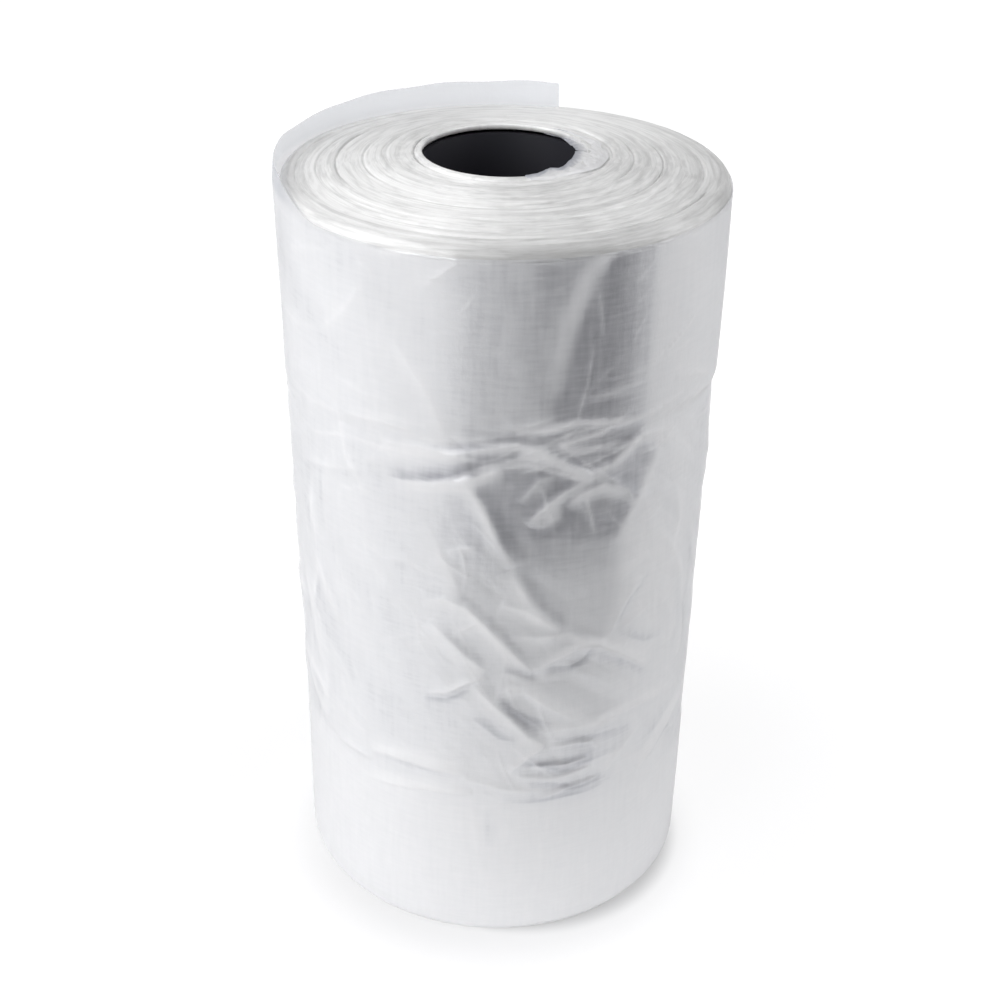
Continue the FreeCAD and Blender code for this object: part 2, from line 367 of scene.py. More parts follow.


# where the film looks clear instead of milky, and light and shade painted on the film: a painted dark
# reflection at the front, a painted lighter streak in it, painted highlights and painted shade in hollows
clear = {
    # haze below 0 is painted shade, darkest in the deepest hollows
    "deepest": -0.6,  # haze of the darkest hollows
    # painted dark reflection, clearer, more mirroring and darker in tone: height, left and right end of the
    # clear zone at the front, haze left in it
    "zone": [(60, 12, 14, 0.3), (75, 4, 20, 0.45), (90, -4, 26, 0.55), (105, -6, 28, 0.55),
             (120, -6, 33, 0.5), (128, -7, 31, 0.52), (136, -8, 34, 0.5), (144, -9, 31, 0.42),
             (152, -11, 33, 0.26), (160, -12, 36, 0.1), (168, -12, 39, 0.06), (181, -13, 42, 0.08),
             (186, -13, 38, 0.06), (200, -12.5, 38.5, 0.04), (228, -11, 38.5, 0.03),
             (239, -9, 38.5, 0.03), (251, -6, 39, 0.04)],
    # a painted lighter reflection in the upper band: height, angle where the milky streak ends against the
    # clearest film, its strength
    "paintedReflectionStreak": [(186, 10, 0.05), (200, 13, 0.08), (210, 16, 0.16), (217, 17.3, 0.24), (225, 18.4, 0.34),
               (230, 19.8, 0.38), (235, 21.6, 0.42), (240, 23.2, 0.42), (244, 25, 0.46), (248, 28, 0.5),
               (251, 31, 0.5)],
    # milky ribbons beside folds, partly film whitened along its creases, partly painted highlight: points
    # (angle, height), strength, width above and below
    "ribbonsAndPaintedHighlight": [
        ([(-28, 185), (-20, 186.3), (-14, 187.5), (-8, 188.2)], 0.8, 1.8, 3.0),
        ([(-26, 174.6), (-17, 175.8), (-8, 177.8), (-2, 182), (2, 184)], 0.7, 1.6, 2.6),
        ([(-6, 181), (-2, 183), (3, 186)], 0.55, 3.0, 3.0),
        ([(28, 87.5), (37, 87.3), (47, 87), (58, 83)], 0.9, 1.4, 2.0),
        ([(45, 57), (51, 62), (55, 65.6), (61, 68.5), (68, 71), (74, 73.5)], 1.0, 3.6, 2.0),
        ([(26, 116), (33, 112), (40, 106), (47, 99)], 0.7, 2.4, 1.6),
        ([(14, 83.5), (26, 83), (35, 83), (43, 80.5)], 0.6, 1.4, 1.0),
        ([(-38, 69), (-24, 70.5), (-8, 69)], 0.8, 3.0, 2.4),
        ([(-36, 57), (-21, 60), (-8, 61)], 0.8, 2.6, 1.8),
    ],
    # painted shade in hollows beside folds, clearer and darker film, given in the same way
    "paintedHollowShade": [
        ([(-29, 175.8), (-24, 176.3), (-18, 177.2), (-13, 179.2)], 0.62, 3.6, 1.6),
        ([(-20, 177.4), (-13, 179.6), (-8, 182.6), (-2, 185.6), (5, 187)], 0.5, 2.4, 1.8),
        ([(13, 111), (20, 110), (24, 112), (26, 117)], 0.7, 1.2, 1.8),
        ([(1, 111), (6, 109), (11, 106)], 0.5, 2.2, 2.0),
        ([(-20, 97), (-13, 98), (-7, 103)], 0.5, 1.2, 1.3),
        ([(1, 99), (5, 95), (9, 91.5), (16, 88)], 0.6, 2.8, 3.6),
        ([(-6, 92), (-2, 88), (1, 84.5), (6, 82.5)], 0.6, 2.4, 2.0),
        ([(16, 82), (26, 80.5), (34, 79.5), (42, 78.5)], 0.5, 1.6, 2.8),
        ([(7, 73), (12, 72), (18, 69.5)], 0.6, 1.8, 1.5),
        ([(12, 69), (20, 68.5), (29, 69.5)], 0.5, 2.8, 2.0),
        ([(9, 65), (16, 64), (24, 61)], 0.45, 1.6, 1.8),
        ([(18, 61.5), (25, 60), (34, 61)], 0.6, 2.4, 2.2),
        ([(2, 57.5), (10, 56.8), (20, 57.2), (28, 57.5), (35, 58.6)], 0.6, 1.6, 1.4),
        ([(19, 71), (28, 70), (36, 71), (42, 76)], 0.45, 6.0, 3.0),
        ([(44, 64), (50, 68.5), (56, 72), (64, 75.5)], 0.4, 3.6, 2.4),
        ([(28, 112), (35, 107.5), (42, 101), (47, 96)], 0.4, 1.6, 3.2),
        ([(34, 118), (44, 110), (52, 108)], 0.6, 2.4, 1.6),
        ([(44, 137), (37, 130), (33, 122)], 0.5, 1.2, 1.2),
        ([(-8, 168), (-3, 160), (2, 150)], 0.2, 4.0, 4.0),
        ([(-16, 122), (-9, 116), (-3, 112)], 0.3, 3.0, 2.0),
        ([(-2.5, 54), (-1.5, 38)], 0.3, 2.4, 2.4),
    ],
}


def filmHazeAndPaintedLight(angles, heights):
    # 0 clear and mirroring, 1 milky: bands, creases and the bunched end scatter more light than taut film.
    #                                 It also carries painted light: a dark reflection painted at the front
    #                                 with a lighter streak, painted highlights on crests and, below 0,
    #                                 painted shade in dents and hollows
    levels, starts, ends, veils = np.array(clear["zone"]).T
    start, end, veil = (np.interp(heights, levels, values) for values in (starts, ends, veils))
    end = end + 1.6 * lineNoise(heights / 7, 63) * smooth(190 - heights, 0, 8)
    fade = np.interp(heights, [178, 190], [4.0, 1.8])      # crisper right edge in the upper band
    # painted dark reflection: the clear zone at the front, darker in tone and more mirroring
    inside = smooth(angles, start - 8, start + 7) * smooth((end - angles) / fade, -1, 1)
    upper = smooth(heights, upperEdge(angles) - 6, upperEdge(angles) + 4)
    # painted reflection: a lighter streak in the clear zone of the upper band
    levels, edges, strengths = np.array(clear["paintedReflectionStreak"]).T
    edge, strength = np.interp(heights, levels, edges), np.interp(heights, levels, strengths)
    left = smooth(edge - angles, -1, 2.6)
    core = strength * np.exp(-((angles - edge + 4.2) / 3.2) ** 2)
    paintedReflectionStreak = left * (0.17 + 0.14 * smooth(8 - angles, -4, 5) + core)
    paintedReflectionStreak = paintedReflectionStreak + (1 - left) * 0.26 * smooth(angles, 25, 39)
    cloud = 0.5 + 0.14 * facetNoise(angles / 360 * 24 + heights / 40, heights / 18, 51, 24)
    # painted light: milkier and so lighter between about 22 and 68 degrees
    cloud = cloud + 0.2 * smooth(angles, 22, 40) * smooth(68 - angles, 0, 14)
    haze = cloud * (1 - inside) + inside * (veil + upper * paintedReflectionStreak)
    haze = haze + (0.75 - haze) * (1 - smooth(heights, lowerEdge(angles) - 5, lowerEdge(angles) + 2))
    # milky ribbons: partly film whitened along its creases, partly painted highlight
    ribbonsAndPaintedHighlight = foldField(angles, heights, frontFolds + hemFolds + clear["ribbonsAndPaintedHighlight"], 0.9, "ribbon")
    ribbonsAndPaintedHighlight = ribbonsAndPaintedHighlight + foldsAllRound(angles, heights, backFolds + edgeFolds, 0.7, "ribbon")
    # painted shade in dents on the steep side of the folds
    paintedDentShade = 0.16 * foldField(angles, heights, frontFolds, 1.1, "dent")
    paintedDentShade = paintedDentShade + 0.25 * foldsAllRound(angles, heights, backFolds + edgeFolds, 1.0, "dent")
    threads = 2.0 * foldField(angles, heights, bandFolds, 0.8)
    threads = threads + 3.6 * foldsAllRound(angles, heights, fineFolds)
    haze = haze + (1 - haze) * np.clip(0.8 * ribbonsAndPaintedHighlight + threads, 0, 0.85)
    # painted shade in the listed hollows
    paintedHollowShade = foldField(angles, heights, clear["paintedHollowShade"], 1.0, "ribbon")
    haze = np.clip(haze - paintedDentShade - paintedHollowShade, clear["deepest"], 1)
    rim = roll["rimHeight"] + 1.3 * lineNoise(angles / 3, 61)
    return haze + (0.6 - haze) * smooth(heights, rim - 3, rim + 2.6)


def looseShare(past):
    # 1 where the last turn stands free, round the back and left; 0 where it lies on the shoulder
    return 1 - smooth(past, 117, 147)


def standOff(angles, heights):
    # gap between the last turn and the turns below it, in mm
    past = (angles - lastTurn["freeEnd"]) % 360
    free = looseShare(past) * (1 - smooth(past, 340, 360)) * smooth(past, -20, 6)
    return 0.2 + 1.5 * free * smooth(heights, roll["rimHeight"] - 22, roll["rimHeight"] - 3)


def innerStep(angles):
    # the film's thickness at the last turn's inner end, taken up over the degrees beside it
    beside = np.abs((angles - lastTurn["freeEnd"] - lastTurn["overlap"] + 180) % 360 - 180)
    return lastTurn["spiralStep"] * np.exp(-beside / 40)


def bodyRadius(angles, heights):
    # the turns below it: the same folds, softened, a little further in
    slack = slackShare(angles, heights)
    radius = profileRadius(angles, heights) - 0.1 + slack * 0.6 * allFolds(angles, heights, 1.5)
    radius = radius + (1 - slack) * 0.5 * foldField(angles, heights, bandFolds, 1.8)
    return np.minimum(radius, filmRadius(angles, heights)) - standOff(angles, heights) - innerStep(angles)


shoulder = {"depth": 3.6, "height": 3.4}      # soft outer edge of the upper end


def faceEdge(angles):
    # height where the upper end meets its shoulder
    return roll["rimHeight"] + 0.3 + 1.2 * (0.5 + 0.5 * np.cos(np.radians(angles - 40)))


lastTurn = {
    "freeEnd": 165.0,         # angle where it ends
    "overlap": 4.0,           # degrees that the spiral runs on under that end
    "spiralStep": 0.5,        # how far the free end stands off the turn below
    "fine": (-64, 64),        # angles drawn with a finer grid
    "spans": (105, 260, 90),  # grid columns before, within and after them
    # degrees past the free end, height of the edge above the rim, how far it leans in
    "edge": [(0, 7.2, 0.2), (20, 7.4, 0.2), (34, 7.4, 0.2), (50, 6.5, 0.2), (63, 6.2, 0.2), (73, 5.8, 0.2),
             (90, 5.2, 0.2), (112, 4.6, 0.5), (129, 4.6, 1.4), (141, 4.0, 2.4), (155, 3.6, 3.4)],
}


def buildLastTurn():
    free, (fineStart, fineEnd) = lastTurn["freeEnd"], lastTurn["fine"]
    cuts = [0, fineStart - free + 360, fineEnd - free + 360, 360 + lastTurn["overlap"]]
    columns = [np.linspace(start, end, spans, endpoint=False)
               for start, end, spans in zip(cuts, cuts[1:], lastTurn["spans"])]
    past = np.concatenate(columns + [cuts[-1:]])
    angles = (past + free + 180) % 360 - 180
    bend = roll["rimHeight"] - shoulder["height"]
    # rows, closest where the film is folded
    steady = np.concatenate([np.linspace(0.2, 3, 4)[:-1], np.linspace(3, 50, 20)[:-1],
                             np.linspace(50, 200, 230)[:-1], np.linspace(200, bend, 40)])
    after, rise, lean = np.array(lastTurn["edge"]).T
    rise, lean = np.interp(past, after, rise), np.interp(past, after, lean)
    loose = looseShare(past)
    climb = np.linspace(0, 1, 17)[1:, None]
    grid = np.repeat(angles[None], len(steady) + len(climb), 0)
    # free film rises straight; elsewhere the film follows the shoulder and stops just short of the flat end
    turnIn = np.radians(20 * climb)
    tall = faceEdge(angles) + 0.35 - bend
    wrinkle = 0.06 * facetNoise(angles / 360 * 70, climb * 1.5, 41, 70)
    wrinkle = wrinkle + 0.06 * facetNoise(angles / 360 * 170, climb * 3, 42, 170)
    standing = bend + (rise + shoulder["height"]) * climb
    hugging = bend + tall * np.sin(turnIn)
    rising = standing * loose + hugging * (1 - loose)
    heights = np.concatenate([np.repeat(steady[:, None], len(past), 1), rising])
    turned = shoulder["depth"] * (1 - np.cos(turnIn)) - wrinkle * smooth(climb, 0, 0.5)
    inward = np.zeros_like(grid)
    inward[len(steady):] = loose * lean * climb ** 1.8 + (1 - loose) * turned
    radius = filmRadius(grid, np.minimum(heights, bend)) - inward
    radius = radius - lastTurn["spiralStep"] * np.exp(-(360 + lastTurn["overlap"] - past) / 40)
    radius = radius + 0.4 * np.exp(-past / 2.5) * smooth(heights, 120, 257)      # free end curls out
    radius = radius - 1.2 * (1 - smooth(heights, 0, 2.5))      # foot drawn in
    share = np.clip((heights - bend) / 8, 0, 1)
    heights = heights + share * (0.3 * np.sin(np.radians(7 * grid)) + 0.2 * np.sin(np.radians(17 * grid)))
    points = ringPoints(grid, radius, heights)
    normals = gridNormals(points, False)
    along = np.radians(past)[None] * roll["turnRadius"]
    uvs = np.stack(np.broadcast_arrays(along, heights), axis=-1) * mm
    haze = filmHazeAndPaintedLight(grid, heights)
    haze = haze + (1 - haze) * 0.6 * np.exp(-(past / 0.9) ** 2)      # the cut at its free end
    # 1 where the roll lies behind the film, 0 where it stands free
    backing = 1 - loose[None] * smooth(heights, bend + 0.5, bend + 3.5)
    pieces, start = [], 0
    for side, spans in zip(("left", "front", "right"), lastTurn["spans"]):
        part = slice(start, start + spans + 1)
        pieces.append(gridMesh("film_last_turn_" + side, points[:, part], False, uvs[:, part],
                               normals=normals[:, part], haze=haze[:, part], backing=backing[:, part]))
        start += spans
    return pieces


body = {
    "columns": 316,
    "crown": 1.3,       # rise of the end face at the core, above the lifted turns
    "bundle": 4.4,      # turns slid together read as rings
    "fineTurns": 1.15,  # real turns are 0.05 mm, drawn coarse enough to show
    # painted light and shade round the end faces: angle, share of the light that they give back
    "packing": [(-180, 0.95), (-150, 0.88), (-115, 0.88), (-90, 0.94), (-70, 0.95), (-50, 1.0), (-20, 1.0),
                (0, 0.88), (22, 0.83), (45, 0.88), (75, 0.86), (105, 0.88), (130, 0.95), (155, 0.99),
                (180, 0.95)],
    # fine gaps between bundles: radius, from and to angle, depth
    "gaps": [(64.0, -165, -60, 0.5), (63.6, 35, 75, 0.7), (57.5, -150, -70, 0.5), (61.0, 60, 110, 0.4),
             (48.5, 40, 120, 0.7), (51.5, -140, -60, 0.5), (43.0, -120, -50, 0.5), (39.5, 50, 115, 0.6),
             (36.0, -140, -70, 0.4), (33.0, 80, 140, 0.5), (55.0, 100, 165, 0.4), (45.5, -40, 30, 0.3),
             (59.0, -45, 20, 0.3), (62.5, -30, 45, 0.4), (53.0, -20, 60, 0.3), (60.0, 150, 200, 0.4)],
}


def turnRelief(angles, radius, seed):
    # rings of slid turns, winding round as a spiral
    wander = 0.5 * np.sin(np.radians(2 * angles + 30)) + 0.3 * np.sin(np.radians(5 * angles - 60))
    ring = radius + wander + angles / 360 * body["fineTurns"]
    relief = 0.5 * lineNoise(ring / body["bundle"], seed)
    # the fine turns show in patches
    patch = 0.45 + 0.55 * facetNoise(angles / 360 * 18, radius / 7, seed + 3, 18)
    fine = 0.07 * lineNoise(ring / body["fineTurns"], seed + 1) * patch
    return relief + fine + 0.03 * lineNoise(ring / 0.62 + 2 * np.sin(np.radians(angles * 3)), seed + 2)


def topFace(angles, radius, edge):
    # height of the upper end at a radius, a shallow dome up to the core
    inner, outer = roll["lipRadius"], edge - 1.0
    inside = np.clip((outer - radius) / (outer - inner), 0, 1)
    crown = roll["rimHeight"] + roll["lift"] + body["crown"]
    height = faceEdge(angles) + (crown - faceEdge(angles)) * inside ** 0.85
    share = smooth(radius, inner + 2, inner + 5) * smooth(edge - radius, 0, 2)
    height = height + turnRelief(angles, radius, 11) * share
    for gapRadius, start, end, depth in body["gaps"]:
        middle, half = (start + end) / 2, (end - start) / 2
        offset = np.abs((angles - middle + 180) % 360 - 180)
        gap = depth * (1 - smooth(offset, half * 0.6, half))
        height = height - gap * np.exp(-((radius - gapRadius) / 0.38) ** 2)
    return height


def buildBody():
    angles = np.linspace(-180, 180, body["columns"], endpoint=False)
    inner, bend = roll["lipRadius"], roll["rimHeight"] - shoulder["height"]
    rim = bodyRadius(angles, np.full_like(angles, bend))
    edge = rim - shoulder["depth"]
    top = np.concatenate([np.linspace(0, 0.06, 7)[:-1], np.linspace(0.06, 1, 118)])
    grid = np.repeat(angles[None], len(top), 0)
    radius = inner + (edge - inner) * top[:, None]
    height = topFace(grid, radius, edge)
    # innermost film: a thin gap round it, closed under the crumpled lip
    height = height - 0.9 * np.exp(-((radius - 27.7) / 0.4) ** 2) * (1 - np.exp(-((grid - 78) / 45) ** 2))
    topPoints = ringPoints(grid, radius, height)
    # inner lip, folded down on to the core
    lips = [ringPoints(angles, radius[0] + out, height[0] - drop)
            for out, drop in [(1.1, 1.9), (0.1, 1.7), (-0.05, 0.6)]]
    # shoulder, then the side down to the foot
    turnDown = np.radians(np.linspace(0, 90, 12)[1:-1, None])
    shoulderGrid = np.repeat(angles[None], len(turnDown), 0)
    rings = turnRelief(shoulderGrid, edge + 6 * turnDown, 11) * np.sin(2 * turnDown)
    shoulderRadius = edge + shoulder["depth"] * np.sin(turnDown) + 0.5 * rings
    shoulderHeight = bend + (height[-1] - bend) * np.cos(turnDown)
    shoulderPoints = ringPoints(shoulderGrid, shoulderRadius, shoulderHeight)
    levels = np.concatenate([np.linspace(bend, 198, 12)[:-1], np.linspace(198, 50, 62)[:-1],
                             np.linspace(50, 3, 8), [1.2, 0.3]])
    sideGrid = np.repeat(angles[None], len(levels), 0)
    heights = np.repeat(levels[:, None], len(angles), 1)
    foot = np.array([0.0] * (len(levels) - 3) + [0.05, 0.4, 1.2])[:, None]
    sidePoints = ringPoints(sideGrid, bodyRadius(sideGrid, heights) - foot, heights)
    # lower end
    low = np.linspace(1, 0, 78)[1:]
    footRadius = bodyRadius(angles, np.full_like(angles, 0.3)) - 1.6
    bore = roll["coreRadius"] - 0.3
    lowGrid = np.repeat(angles[None], len(low), 0)
    lowRadius = bore + (footRadius - bore) * low[:, None]
    standing = footRadius - roll["footRing"]
    inside = np.clip((standing - lowRadius) / (standing - bore), 0, 1)
    lowHeight = roll["lift"] * inside ** 0.8
    lowHeight = lowHeight + smooth(inside, 0.02, 0.2) * turnRelief(-lowGrid, lowRadius, 21)
    lowPoints = ringPoints(lowGrid, lowRadius, np.clip(lowHeight, 0.0, None))
    points = np.concatenate([np.stack(lips), topPoints, shoulderPoints, sidePoints, lowPoints])[::-1]
    lipGrid = np.repeat(angles[None], len(lips), 0)
    around = np.concatenate([lipGrid, grid, shoulderGrid, sideGrid, lowGrid])[::-1]
    # texture runs up and down again round the roll, turning at both sides, so that it has no seam
    arc = np.radians(np.abs((around + 90) % 360 - 180)) * roll["turnRadius"]
    shoulderReach = edge.mean() + 5.5 * turnDown[:, 0] / (math.pi / 2)
    reach = np.concatenate([[inner] * len(lips), radius.mean(1), shoulderReach, levels, lowRadius.mean(1)])
    reach = reach[::-1, None]
    sideRows = slice(len(low), len(low) + len(levels))
    rowSlots = np.ones(len(points), np.int32)      # the second material, for the film's edges
    rowSlots[sideRows] = 0
    haze = np.full(arc.shape, 0.9)
    haze[sideRows] = filmHazeAndPaintedLight(sideGrid, heights)[::-1]
    # painted light and shade by angle, a little darker towards the outer edge of the end face
    packing = np.interp(around, *np.array(body["packing"]).T) * (1 - 0.07 * smooth(reach, 58, 67))
    # painted shade: at the front right the shoulder darkens towards the side
    front = smooth(around, -44, 6) * (1 - smooth(around, 36, 48))
    shade = np.concatenate([np.zeros(len(lips)), 0.35 * smooth(radius.mean(1) - edge.mean(), -4, 0),
                            0.35 + 0.65 * smooth(turnDown[:, 0], 0, 0.7), np.zeros(len(levels) + len(low))])
    packing = packing * (1 - (0.18 + 0.03 * lineNoise(around / 4.1, 71)) * front * shade[::-1, None])
    uvs = np.stack(np.broadcast_arrays(arc, reach), axis=-1) * mm
    return gridMesh("film_wound_body", points, True, uvs, rowSlots, haze=haze, packing=packing)


# crumpled film at the core
lip = {
    # angle, radius and height of the inner edge over the core: the film leans out over the bore
    "edge": [(14, 25.6, 2.2), (24, 24.6, 2.2), (33, 22.8, 2.2), (38, 22.3, 2.2), (43, 24.0, 2.1),
             (51, 23.2, 2.1), (60, 22.2, 2.0), (70, 21.8, 2.0), (80, 21.6, 2.0), (87, 21.5, 1.9),
             (90, 23.0, 1.7), (93, 21.8, 1.5), (102, 22.0, 0.9), (112, 22.2, 0.5), (119, 22.8, 0.1),
             (128, 24.4, -0.2), (136, 25.5, -0.3), (150, 25.6, -0.2)],
    "reach": 5.2,  # how far it lies out over the end face
}


def buildLip():
    a, r, z = np.array(lip["edge"]).T
    start, end = a[0], a[-1]
    angles = np.linspace(start, end, 190)
    rng = np.random.default_rng(8)
    edge, tall = np.interp(angles, a, r), np.interp(angles, a, z)
    edge = edge + 0.16 * np.interp(angles, np.linspace(start, end, 60), rng.uniform(-1, 1, 60))
    share = np.linspace(0, 1, 30)[:, None]
    swell = np.sin(np.pi * np.clip((angles - start) / (end - start), 0, 1)) ** 0.5
    outer = roll["lipRadius"] + 0.5 + lip["reach"] * swell * (1 + 0.2 * lineNoise(angles / 9, 35))
    radius = edge + (outer - edge) * share
    # the outer edge dips under the end face
    crest = coreHigh.z / mm + 0.9 + tall * (1 - share) ** 1.4 + 2.15 * share - 0.9 * smooth(share, 0.75, 1)
    x, y = angles[None] / 5.5, share * 5
    crumple = 0.34 * facetNoise(x, y, 31, 40)
    crumple = crumple + 0.16 * facetNoise(x * 2.3, y * 2, 32, 60)
    fade = np.sin(np.pi * np.clip(share * 0.9 + 0.1, 0, 1)) ** 0.7 * swell
    height = crest + crumple * fade + 0.15
    radius = radius + 0.35 * facetNoise(x * 1.7 + 9, y, 33, 50) * fade
    points = ringPoints(angles, radius, height)
    uvs = np.stack([np.radians(angles) * radius, radius], axis=-1) * mm
    # grey where it leans over the bore, white where the roll backs it
    haze = smooth(radius + 0.6 * facetNoise(x * 2, y * 1.5, 34, 50), edge + 0.3, edge + 3.4)
    return gridMesh("film_core_lip", points, False, uvs, haze=haze)


def drawnNoise(tree, scale, **settings):
    # noise drawn out along or across the web; scale is the number of patches in a metre each way
    place = addNode(tree, "TexCoord")
    turned = addNode(tree, "Mapping", None, {"Scale": (*scale, 1)}, {"Vector": place.outputs["UV"]})
    noise = addNode(tree, "TexNoise", None, {"Scale": 1.0, **settings}, {"Vector": turned.outputs[0]})
    return noise.outputs["Fac"]


def fineLines(tree, shader, across, along, strength, depth, stretch):
    # drawn lines across and along the web as a bump, coarser than the real ones so that they show; across
    # and along are lines per metre
    acrossWeb = drawnNoise(tree, (across * stretch, across), Detail=2.0)
    alongWeb = drawnNoise(tree, (along, along * stretch), Detail=2.0)
    both = addNode(tree, "Math", {"operation": "MULTIPLY_ADD"}, {1: 0.5}, {0: alongWeb, 2: acrossWeb})
    bump = addNode(tree, "Bump", None, {"Strength": strength, "Distance": depth},
                   {"Height": both.outputs[0]})
    tree.links.new(bump.outputs[0], shader.inputs["Normal"])


def hazeOver(tree, shader, settings, grain, tones=None):
    # socket values from clear to milky film: the haze written on the mesh, with its painted light and
    # shade, and a faint weave of drawn lines over it, about 1.3 mm apart across the web and 2 mm along it,
    # coarser than the real ones
    haze = addNode(tree, "Attribute", {"attribute_name": "haze"})
    total = haze.outputs["Fac"]
    for scale in ((110, 760), (500, 60)):
        weave = drawnNoise(tree, scale, Detail=2.0)
        line = addNode(tree, "MapRange", None, {"To Min": -grain, "To Max": grain}, {"Value": weave})
        total = addNode(tree, "Math", links={0: total, 1: line.outputs[0]}).outputs[0]      # their sum
    for name, (low, high) in settings.items():
        value = addNode(tree, "MapRange", None, {"To Min": low, "To Max": high}, {"Value": total})
        tree.links.new(value.outputs[0], shader.inputs[name])
    if tones:
        # tones of the painted shade in the darkest hollows, then of clear, a little milky and milky film
        deepest = clear["deepest"]
        shift = addNode(tree, "MapRange", None, {"From Min": deepest}, {"Value": total})
        tone = addNode(tree, "ValToRGB", links={"Fac": shift.outputs[0]})
        stops = tone.color_ramp.elements
        while len(stops) < len(tones):
            stops.new(0.5)
        for stop, (value, colour) in zip(stops, tones):
            stop.position, stop.color = (value - deepest) / (1 - deepest), linearColour(colour)
        tree.links.new(tone.outputs[0], shader.inputs["Base Color"])
        return tone.outputs[0]


def newMaterial(name, values):
    material = bpy.data.materials.new(name)
    material.use_nodes = True
    shader = material.node_tree.nodes["Principled BSDF"]
    for key, value in values.items():
        shader.inputs[key].default_value = value
    return material, material.node_tree, shader


def woundFilm():
    # HDPE bag film, blown and wound: many clear layers scatter light to pearly white and, as a pile,
    # mirror about half of it, so that the room shows softly in the surface
    material, tree, shader = newMaterial("hdpe_film_wound", {"IOR": 1.54})
    # the darkest tone is painted shade for hollows and dents
    hazeOver(tree, shader, {"Metallic": (0.6, 0.1), "Roughness": (0.285, 0.42)}, 0.23,
             [(clear["deepest"], "#B8B8BE"), (0, "#E2E2E6"), (0.4, "#F3F3F5"), (1, "#FBFBFC")])
    fineLines(tree, shader, 1100, 1000, 0.25, 0.0002, 0.3)
    return material


def looseFilm():
    # the last turn, one gusseted bag thick: cloudy and half clear, mirroring where it is taut, white along
    # its creases
    material, tree, shader = newMaterial("hdpe_film_last_turn", {"IOR": 1.54, "Alpha": 0.6})
    # the darkest tone is painted shade for hollows and dents
    tone = hazeOver(tree, shader, {"Metallic": (0.5, 0.05), "Roughness": (0.285, 0.42)}, 0.25,
                    [(clear["deepest"], "#B4B5BC"), (0, "#DEDFE4"), (0.4, "#F2F3F6"), (1, "#FCFCFE")])
    # greyer against the light where nothing backs it
    backing = addNode(tree, "Attribute", {"attribute_name": "backing"})
    either = addNode(tree, "Mix", {"data_type": "RGBA"}, {6: linearColour("#D2D5DC")},
                     {0: backing.outputs["Fac"], 7: tone})
    tree.links.new(either.outputs[2], shader.inputs["Base Color"])
    fineLines(tree, shader, 900, 1200, 0.35, 0.0003, 0.3)
    return material


def cloudedFilm():
    # crumpled film over the dark bore: thin and greyish, with bright folds
    values = {"Metallic": 0.1, "Roughness": 0.33, "IOR": 1.54, "Alpha": 0.85}
    material, tree, shader = newMaterial("hdpe_film_crumpled", values)
    haze = addNode(tree, "Attribute", {"attribute_name": "haze"})
    tone = addNode(tree, "Mix", {"data_type": "RGBA"},
                   {6: linearColour("#B4B6BF"), 7: linearColour("#F1F1F3")}, {0: haze.outputs["Fac"]})
    tree.links.new(tone.outputs[2], shader.inputs["Base Color"])
    fineLines(tree, shader, 500, 700, 0.5, 0.0004, 0.5)
    return material


def turnEdges():
    # cut edges of the same film seen end on: duller than its face, faint grey rings where bundles part
    material, tree, shader = newMaterial("hdpe_film_edges", {"IOR": 1.54})
    hazeOver(tree, shader, {"Metallic": (0.6, 0.0), "Roughness": (0.30, 0.42)}, 0.5)
    # rings about 3 mm apart, unbroken round the roll, and dashes along them, 15 mm long and 1.6 mm wide
    rings = drawnNoise(tree, (4, 330), Detail=3.0, Roughness=0.6)
    dashes = drawnNoise(tree, (65, 620), Detail=3.0, Roughness=0.6, Distortion=0.6)
    mixed = addNode(tree, "Mix", None, {0: 0.5}, {2: rings, 3: dashes})
    # where the painted light is lower, more of the grey rings show
    packing = addNode(tree, "Attribute", {"attribute_name": "packing"})
    paintedRingShift = addNode(tree, "Math", {"operation": "MULTIPLY_ADD"}, {1: 0.5, 2: -0.45},
                     {0: packing.outputs["Fac"]})
    greyed = addNode(tree, "Math", links={0: mixed.outputs[0], 1: paintedRingShift.outputs[0]})
    tone = addNode(tree, "ValToRGB", links={"Fac": greyed.outputs[0]})
    for stop, position, colour in zip(tone.color_ramp.elements, (0.36, 0.58), ("#D8D8D8", "#FCFCFC")):
        stop.position, stop.color = position, linearColour(colour)
    # painted light and shade: the tone scaled by angle
    shade = addNode(tree, "VectorMath", {"operation": "SCALE"}, None,
                    {0: tone.outputs["Color"], 3: packing.outputs["Fac"]})
    tree.links.new(shade.outputs[0], shader.inputs["Base Color"])
    fineLines(tree, shader, 1300, 60, 0.5, 0.0003, 0.02)
    return material


def corePlastic():
    # extruded black polypropylene tube: dark grey, satin
    values = {"Base Color": linearColour("#29292F"), "Roughness": 0.45, "IOR": 1.49}
    return newMaterial("polypropylene_core_black", values)[0]


# white paper under the roll
paper = {
    "gap": 0.0002,  # kept under the foot, so that the faces never coincide
    # it ends a hand's width in front of the roll, and the room beyond is dark
    "corners": [(-1.6, -0.32), (0.06, -0.19), (0.45, 0.05), (1.4, 0.5), (1.4, 2.4), (-1.6, 2.4)],
    # brightness of the glow: centre, radius and value of each ring's start, radius and value of its end; a
    # painted shadow, paler with distance, with a thin painted contact shadow that is widest at the front
    # right
    "rings": [((0, -0.012, 0), (0.056, 0.74), (0.080, 0.87)), ((0, -0.012, 0), (0.085, 0.0), (0.32, 0.15)),
              ((0.0113, -0.0113, 0), (0.050, -0.30), (0.0585, 0.0))],
}


